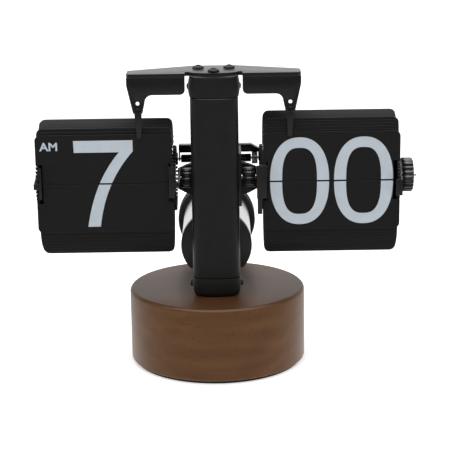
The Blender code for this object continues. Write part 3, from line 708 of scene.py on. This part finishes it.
# Each drum: side of the post, number of leaves, how far round the waiting leaves stand upright
# and where the pile is highest, the swing of the lowest fallen leaf, and the pile's pitch.
DRUMS = {"hour": (-1, 48, 16.0, 38.0, 7.0, 0.00040), "minute": (1, 60, 31.0, 54.0, 2.0, 0.00032)}
for side, (sign, count, upright, crest, most_swing, pitch) in DRUMS.items():
    for half, lift, body in (("upper", 1, f"{side}_flap"), ("lower", -1, "frame")):
        leaf = leaf_sheet(sign, leaf_in, leaf_out, lift, leaf_back - leaf_front, 0.00012, 8)
        finished_piece(f"{side}_{half}_leaf", placed(leaf, FACE_FRONT, (0, leaf_back, hinge_z)), LEAF_BLACK,
                       body, [f"{side}_{half}_flap"])
    thick = pitch * 0.86
    step = 360.0 / count
    places = []
    plane = pack_front
    for order in range(1, math.ceil(180 / step)):
        pin_y, pin_z = pivot_at(-order * step)
        plane = max(plane, pin_y - thick / 2)
        swing = Matrix.Rotation(math.radians(min(most_swing, order * step / 9)), 4, "X")
        at = Matrix.Translation((0, plane + thick, pin_z))
        places.append(at @ swing @ FACE_FRONT @ Matrix.Diagonal((1, -1, 1, 1)))
        plane += pitch
    plane = pack_front
    for order in range(1, math.floor(180 / step) + 1):
        turn = order * step
        pin_y, pin_z = pivot_at(turn)
        if turn <= upright:
            plane = max(plane, pin_y - thick / 2)
            pin_y = plane + thick
            plane += pitch
        lean = Matrix.Rotation(math.radians(lean_of(turn, upright, crest)), 4, "X")
        places.append(Matrix.Translation((0, pin_y, pin_z)) @ lean)
    stack = bmesh.new()
    copied_into(stack, leaf_sheet(sign, leaf_in + 0.0005, leaf_out - 0.0009, 1, thick, 0.00006, 3), places)
    finished_piece(f"{side}_leaves", stack, LEAF_BLACK, "frame", [f"{side}_leaf_pack"])


# ------------------------------------ printed digits
# Pale grey ink, screen-printed on the leaves: each front shows the upper half of a number,
# and each back the lower half of the next, so a number is whole when its leaf has fallen.


def pale_ink():
    """Slightly uneven matt ink film, a little thin in small specks."""
    made, tree, link, shader = new_surface("digit_ink", 0.6, specular=0.3)
    fine = varied(tree, link, 2400.0)
    tone = mixed(tree, link, fine["Cloud"], (0.450, 0.499, 0.544), (0.517, 0.571, 0.621))
    tone = mixed(tree, link, ranged(tree, link, fine["Speck"], 0.0, 0.25), tone, (0.36, 0.40, 0.43))
    link(tone, shader.inputs["Base Color"])
    return made


INK = pale_ink()
INK_FILM, HALF_GAP = 0.00005, 0.00045


def oval(x, z, half_width, half_height, squareness, count=64):
    """A rounded-off loop between an ellipse and a rectangle."""
    points = []
    for i in range(count):
        c, s = math.cos(2 * math.pi * i / count), math.sin(2 * math.pi * i / count)
        points.append((x + half_width * math.copysign(abs(c) ** (2 / squareness), c),
                       z + half_height * math.copysign(abs(s) ** (2 / squareness), s)))
    return points


def bow(first, pull, last, count=16):
    """A quadratic curve without its first point."""
    return [tuple((1 - t) ** 2 * a + 2 * t * (1 - t) * b + t * t * c for a, b, c in zip(first, pull, last))
            for t in (i / count for i in range(1, count + 1))]


def zero(x):
    """A nought about the hinge line; every number is a list of shapes, outline first, then its hole."""
    return [[oval(x, 0, 0.01625, 0.02440, 2.3), oval(x, 0, 0.00960, 0.01860, 2.75)]]


def one(x):
    """A one with a short slanting flag."""
    return [[[(x + 0.0035, -0.0244), (x + 0.0035, 0.0244), (x - 0.0016, 0.0244), (x - 0.0040, 0.0196),
              (x - 0.0105, 0.0158), (x - 0.0105, 0.0104), (x - 0.0034, 0.0136), (x - 0.0034, -0.0244)]]]


def seven(x):
    """A seven whose stem curves down from its flat top bar."""
    left, right, top = x - 0.0167, x + 0.0158, 0.0242
    crook, shoulder = (left + 0.0249, 0.0176), (right, 0.0180)
    stem_left = bow(crook, (left + 0.0109, 0.0016), (left + 0.0067, -top))
    stem_right = bow(shoulder, (left + 0.0169, 0.0010), (left + 0.0136, -top))
    return [[[(left, top), (left + 0.0002, crook[1]), crook] + stem_left + stem_right[::-1]
             + [shoulder, (right, top)]]]


def eight(x):
    """An eight of two ovals, the lower one wider."""
    return [[oval(x, 0.0115, 0.0148, 0.0128, 2.3), oval(x, 0.0120, 0.0086, 0.0070, 2.3)],
            [oval(x, -0.0112, 0.0165, 0.0132, 2.3), oval(x, -0.0116, 0.0100, 0.0072, 2.3)]]


def print_half(name, loops, lift, y, facing, body, mirror=1):
    """Ink one half of a number, above or below the hinge line, on a face of a leaf."""
    film = bmesh.new()
    for shape in loops:
        filled(film, [[(x, 0, z) for x, z in outline] for outline in shape])
    bmesh.ops.bisect_plane(film, geom=film.verts[:] + film.edges[:] + film.faces[:], clear_outer=True,
                           plane_co=(0, 0, HALF_GAP * lift), plane_no=(0, 0, -lift), dist=1e-7)
    thickened(film, (0, facing * INK_FILM, 0))
    bmesh.ops.scale(film, vec=(1, 1, mirror), verts=film.verts)
    bmesh.ops.translate(film, verts=film.verts, vec=(0, y, hinge_z))
    finished_piece(name, film, INK, body)


hour_x, tens_x, units_x = -0.0607, 0.0464, 0.0816
SEVEN, EIGHT = seven(hour_x), eight(hour_x)
ZEROS = zero(tens_x) + zero(units_x)
ZERO_ONE = zero(tens_x) + one(units_x)
for side, now, following in (("hour", SEVEN, EIGHT), ("minute", ZEROS, ZERO_ONE)):
    print_half(f"{side}_digit_upper", now, 1, leaf_front, -1, f"{side}_flap")
    print_half(f"{side}_digit_lower", now, -1, leaf_front, -1, "frame")
    print_half(f"{side}_next_digit_back", following, -1, leaf_back, 1, f"{side}_flap", -1)
    print_half(f"{side}_next_digit_upper", following, 1, pack_front, -1, "frame")


def small_letters(name, y, body):
    """The two small letters beside the hour, upper left."""
    text = bpy.data.curves.new(name, "FONT")
    text.body = "AM"
    text.size = 0.0063
    text.offset = 0.00016
    text.extrude = INK_FILM / 2
    text.align_x = "LEFT"
    source = bpy.data.objects.new(name, text)
    bpy.context.scene.collection.objects.link(source)
    bpy.context.view_layer.update()
    flat = bpy.data.meshes.new_from_object(source.evaluated_get(bpy.context.evaluated_depsgraph_get()))
    bpy.data.objects.remove(source)
    bm = bmesh.new()
    bm.from_mesh(flat)
    width = max(v.co.x for v in bm.verts) - min(v.co.x for v in bm.verts)
    fitted = FACE_FRONT @ Matrix.Diagonal((0.0099 / width, 1, 1, 1))
    finished_piece(name, placed(bm, fitted, (-0.0958, y, 0.1271)), INK, body)


small_letters("morning_letters", leaf_front - INK_FILM / 2, "hour_flap")
small_letters("next_morning_letters", pack_front - INK_FILM / 2, "frame")


# ------------------------------------ drums: discs, hubs and sleeves
# Injection-moulded black plastic, left as it came from the mould. The discs are toothed round
# the rim, and the fluted sleeve between each drum and the movement lets a finger turn it.

MOULDED = black_finish("moulded_black", (0.0095, 0.0095, 0.0100), 0.26, 0.42, 0.06, 1600.0, edge_wear_highlight=0.8, coat=0.15)
SATIN_MOULDED = black_finish("satin_moulded_black", (0.0110, 0.0112, 0.0110), 0.40, 0.45, 0.08, 1600.0, edge_wear_highlight=0.6)


def fluted(points, start, end, radius, depth, flutes, bore, soften):
    """A sleeve along X whose outside is a wave of flutes, with a bore and softened ends."""
    bm = bmesh.new()
    rings = []
    for along, shrink in ((start, soften), (start + soften, 0.0), (end - soften, 0.0), (end, soften)):
        outline = []
        for i in range(points):
            turn = 2 * math.pi * i / points
            wave = 0.5 + 0.5 * math.cos(flutes * turn)
            reach = radius - shrink - depth * (1 - wave ** 0.6)
            outline.append((along, drum_y + reach * math.cos(turn), drum_z + reach * math.sin(turn)))
        rings.append(looped(bm, outline))
    for low, high in zip(rings, rings[1:]):
        bmesh.ops.bridge_loops(bm, edges=low + high)
    bores = []
    for ring, along in ((rings[0], start), (rings[-1], end)):
        bores.append(looped(bm, [(along, drum_y + y, drum_z + z) for y, z in ring_points(bore, points)]))
        bmesh.ops.bridge_loops(bm, edges=ring + bores[-1])
    bmesh.ops.bridge_loops(bm, edges=bores[0] + bores[1])
    return bm


def crowned(node, outside, count, phase, foot, tip):
    """A toothed disc half as thick as its room, with a peg standing out in line with every tooth."""
    low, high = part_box(node)
    middle, face = (low.x + high.x) / 2, high.x if outside > 0 else low.x
    bm = softened(node, 0.00012, 1)
    for vert in bm.verts:
        if (vert.co.x - middle) * outside > 0:
            vert.co.x = middle
    for i in range(count):
        turn = math.radians(phase + 360.0 * i / count)
        out, across = Vector((0, math.cos(turn), math.sin(turn))), Vector((0, -math.sin(turn), math.cos(turn)))
        for vert in bmesh.ops.create_cube(bm, size=2.0)["verts"]:
            x = face if vert.co.x * outside > 0 else middle - 0.0001 * outside
            reach, half_width = (0.0182, tip) if vert.co.y > 0 else (0.0163, foot)
            vert.co = Vector((x, drum_y, drum_z)) + out * reach + across * vert.co.z * half_width
    return bm


RIM_BLACK = black_finish("rim_black", (0.0085, 0.0085, 0.0090), 0.50, 0.14, 0.06, 1600.0, edge_wear_highlight=0.3)
ALONG_AXLE = Matrix.Rotation(math.pi / 2, 4, "Y")
TEETH = {"hour": (("inner", 1, 48, 1.09, 0.00060, 0.00022), ("outer", -1, 48, 3.75, 0.00080, 0.00030)),
         "minute": (("inner", -1, 60, 3.0, 0.00065, 0.00025), ("outer", 1, 60, 3.0, 0.00065, 0.00025))}
for side, discs in TEETH.items():
    for end, facing, count, phase, foot, tip in discs:
        disc = crowned(f"{side}_{end}_disc", facing, count, phase, foot, tip)
        finished_piece(f"{side}_toothed_{end}_disc", disc, RIM_BLACK, f"{side}_drum",
                       [f"{side}_{end}_disc"])
    low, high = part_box(f"{side}_fluted_sleeve")
    sleeve = fluted(180, low.x, high.x, 0.0056, 0.0010, 10, 0.0016, 0.0002)
    finished_piece(f"{side}_sleeve", sleeve, MOULDED, f"{side}_drum",
                   [f"{side}_fluted_sleeve"], sharp=45)
    low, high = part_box(f"{side}_hub")
    hub_bore, hub_radius, hub_break = 0.00155, 0.0060, 0.0003
    hub = spun([(hub_bore, low.x), (hub_radius - hub_break, low.x), (hub_radius, low.x + hub_break),
                (hub_radius, high.x - hub_break), (hub_radius - hub_break, high.x), (hub_bore, high.x)], 48)
    finished_piece(f"{side}_drum_hub", placed(hub, ALONG_AXLE, (0, drum_y, drum_z)), SATIN_MOULDED,
                   f"{side}_drum", [f"{side}_hub"])


# ------------------------------------ setting knob and minute axle
# The knob is a glossy moulding with twenty flutes, pressed on the end of the steel
# minute axle, whose turned tip stands out of it.

low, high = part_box("setting_knob")
knob = fluted(256, low.x, high.x, 0.0096, 0.0008, 20, 0.00155, 0.0008)
finished_piece("fluted_setting_knob", knob, MOULDED, "minute_drum",
               ["setting_knob"], sharp=45)

low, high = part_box("minute_axle")
rod = spun([(0.0, low.x), (0.00105, low.x), (0.00125, low.x + 0.0002), (0.00125, high.x - 0.0018),
            (0.0011, high.x - 0.0016), (0.0011, high.x - 0.0004), (0.0007, high.x), (0.0, high.x)], 32)
finished_piece("minute_axle_rod", placed(rod, ALONG_AXLE, (0, drum_y, drum_z)), STEEL, "minute_drum",
               ["minute_axle"])


# ------------------------------------ movement and its gear train
# A two-part moulded case holds a quartz stepping motor and the wheels that slow it down to one
# turn an hour. Tapered wings on the case carry the drums' inner ends.

for side in ("left", "right"):
    finished_piece(f"case_half_{side}", softened(f"movement_case_{side}", 0.0006, 3, 45), SATIN_MOULDED,
                   "frame", [f"movement_case_{side}"])


def moulded_cream():
    """Unpainted cream nylon, faintly mottled, with a soft sheen."""
    made, tree, link, shader = new_surface("cream_nylon", 0.35, specular=0.5)
    shader.inputs["Subsurface Weight"].default_value = 0.1
    shader.inputs["Subsurface Radius"].default_value = (0.0008, 0.0006, 0.0004)
    fine = varied(tree, link, 900.0)
    link(mixed(tree, link, fine["Cloud"], (0.78, 0.74, 0.64), (0.88, 0.85, 0.77)), shader.inputs["Base Color"])
    bumped(tree, link, shader, fine["Height"], 0.08, 0.00004)
    return made


def worked_metal(name, dark, light, roughness, scale, stretch):
    """Bare worked metal with fine marks drawn out along one way."""
    made, tree, link, shader = new_surface(name, roughness, metallic=1.0)
    drawn = tree.new("ShaderNodeMapping")
    drawn.inputs["Scale"].default_value = stretch
    link(tree.new("ShaderNodeTexCoord").outputs["Object"], drawn.inputs["Vector"])
    fine = varied(tree, link, scale, drawn.outputs["Vector"])
    link(mixed(tree, link, fine["Height"], dark, light), shader.inputs["Base Color"])
    link(ranged(tree, link, fine["Cloud"], roughness - 0.07, roughness + 0.09), shader.inputs["Roughness"])
    bumped(tree, link, shader, fine["Height"], 0.12, 0.00003)
    return made


CREAM = moulded_cream()
BRASS = worked_metal("cut_brass", (0.50, 0.33, 0.11), (0.72, 0.53, 0.23), 0.30, 1500.0, (1, 1, 1))
IRON = worked_metal("stamped_iron", (0.24, 0.24, 0.25), (0.42, 0.42, 0.43), 0.42, 900.0, (1, 0.2, 1))
COPPER = worked_metal("enamelled_copper", (0.36, 0.12, 0.045), (0.68, 0.30, 0.14), 0.28, 1.0, (9000, 60, 60))
for name, width, surface, body, slot in (
        ("minute_drive_wheel", 0.00004, BRASS, "minute_drum", "brass_wheel"),
        ("idler_gear", 0.00004, CREAM, "idler", "cream_moulding"),
        ("motor_rotor", 0.00004, CREAM, "rotor", "cream_moulding"),
        ("motor_stator", 0.00015, IRON, "frame", "stator_iron")):
    finished_piece(f"train_{name}", softened(name, width, 1), surface, body, [name])

low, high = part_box("motor_coil")
cheek, turns, middle = 0.0006, 34, (low + high) / 2
rim = high.z - middle.z
wire_top, wire_foot, wire_floor = rim - 0.0002, rim - 0.00032, rim - 0.0004
winding = [(0.0, low.x), (rim, low.x), (rim, low.x + cheek), (wire_floor, low.x + cheek)]
for i in range(turns):
    at = low.x + cheek + (high.x - low.x - 2 * cheek) * (i + 0.5) / turns
    winding += [(wire_foot, at - 0.00008), (wire_top, at), (wire_foot, at + 0.00008)]
winding += [(wire_floor, high.x - cheek), (rim, high.x - cheek), (rim, high.x), (0.0, high.x)]
coil = placed(spun(winding, 40), ALONG_AXLE, (0, middle.y, middle.z))
finished_piece("wound_motor_coil", coil, COPPER, "frame", ["motor_coil"])


# ------------------------------------ transfer shaft behind the drums
# Two cream nylon pinions on a steel shaft, with a fluted black sleeve between them, pass the
# minute drum's turn on to the hour drum. A black crossbar with curved lugs carries the shaft.

transfer_y, transfer_z = 0.0130, 0.1145
low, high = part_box("transfer_sleeve")
sleeve = fluted(96, low.x, high.x, (high.z - low.z) / 2, 0.00035, 10, 0.0010, 0.0003)
bmesh.ops.translate(sleeve, verts=sleeve.verts, vec=(0, transfer_y - drum_y, transfer_z - drum_z))
finished_piece("fluted_transfer_sleeve", sleeve, MOULDED, "transfer",
               ["transfer_sleeve"], sharp=45)
for side in ("hour", "minute"):
    finished_piece(f"{side}_cream_pinion", softened(f"{side}_transfer_pinion", 0.00015), CREAM, "transfer",
                   [f"{side}_transfer_pinion"])
crossbar = softened("transfer_bridge", 0.0005, 3, 40)
slant_start, slant_run, slant_drop = 0.0205, 0.0053, 0.0030
bmesh.ops.bisect_plane(crossbar, geom=crossbar.verts[:] + crossbar.edges[:] + crossbar.faces[:],
                       plane_co=(slant_start, 0, 0), plane_no=(1, 0, 0), dist=1e-7)
for vert in crossbar.verts:
    if vert.co.x > slant_start + 0.0001 and vert.co.z > 0.1200:
        vert.co.z -= slant_drop * (vert.co.x - slant_start) / slant_run
finished_piece("transfer_crossbar", crossbar, MOULDED, "frame", ["transfer_bridge"])


# ------------------------------------ battery tube, caps and cell
# A bright satin tube holds one large round cell. Its black front cap is fixed to the post and
# cut flat below, and its black rear cap pulls off. The tube is brushed round its length.


tube_axis = (0, 0, 0.0670)


def battery_solid(profile):
    """Turn a (radius, distance back) profile about the tube's own axis."""
    return placed(spun(profile), Matrix.Rotation(-math.pi / 2, 4, "X"), tube_axis)


BRIGHT = worked_metal("bright_tube_metal", (0.62, 0.62, 0.61), (0.82, 0.82, 0.81), 0.30, 260.0, (1, 12, 1))
low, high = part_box("battery_tube")
outer, inner, tube_break = high.x, high.x - 0.0012, 0.0003
tube = [(inner, low.y), (outer - tube_break, low.y), (outer, low.y + tube_break), (outer, high.y - tube_break),
        (outer - tube_break, high.y), (inner, high.y)]
finished_piece("bright_battery_tube", battery_solid(tube), BRIGHT, "frame", ["battery_tube"])

low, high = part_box("battery_front_cap")
cap_flat = -0.0134
cap_rim = [(x, max(z, cap_flat)) for x, z in ring_points(high.x, 120)]
front_cap = cut_sheet([cap_rim], -high.y, -low.y, 0.0009, 3)
CAP_BLACK = black_finish("cap_black", (0.0300, 0.0306, 0.0300), 0.42, 0.45, 0.08, 1600.0, edge_wear_highlight=0.4)
finished_piece("tube_front_cap", placed(front_cap, FACE_FRONT, tube_axis), CAP_BLACK, "frame",
               ["battery_front_cap"], sharp=50)

low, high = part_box("battery_rear_cap")
reach, bore, cap_floor, cap_round = high.x, 0.0203, 0.0663, 0.0012
cap = [(bore, low.y), (reach - 0.0006, low.y), (reach, low.y + 0.0006), (reach, low.y + 0.0015)]
for i in range(6):
    groove = low.y + 0.0022 + 0.0011 * i
    cap += [(reach - 0.0004, groove), (reach - 0.0004, groove + 0.0004), (reach, groove + 0.0006)]
cap += arc(reach - cap_round, high.y - cap_round, cap_round, 0, 90, 5)
cap += [(0.0120, high.y), (0.0116, high.y - 0.0006), (0.0, high.y - 0.0006), (0.0, cap_floor),
        (bore, cap_floor)]
finished_piece("ribbed_rear_cap", battery_solid(cap), SATIN_MOULDED, "rear_cap",
               ["battery_rear_cap"])


def printed_jacket():
    """Shrunk plastic sleeve on the cell: a metallic body, a dark band at the back and small scuffs."""
    made, tree, link, shader = new_surface("cell_sleeve", 0.32, metallic=0.5)
    depth = tree.new("ShaderNodeSeparateXYZ")
    link(tree.new("ShaderNodeTexCoord").outputs["Object"], depth.inputs["Vector"])
    band = ranged(tree, link, depth.outputs["Y"], 0.0, 1.0, 0.0455, 0.0460)
    fine = varied(tree, link, 700.0)
    jacket = mixed(tree, link, fine["Cloud"], (0.27, 0.28, 0.30), (0.40, 0.41, 0.43))
    tone = mixed(tree, link, band, jacket, (0.030, 0.030, 0.034))
    link(mixed(tree, link, fine["Speck"], tone, (0.20, 0.20, 0.21)), shader.inputs["Base Color"])
    return made


finished_piece("round_cell", softened("battery_cell", 0.0003), printed_jacket(), "cell",
               ["battery_cell"])
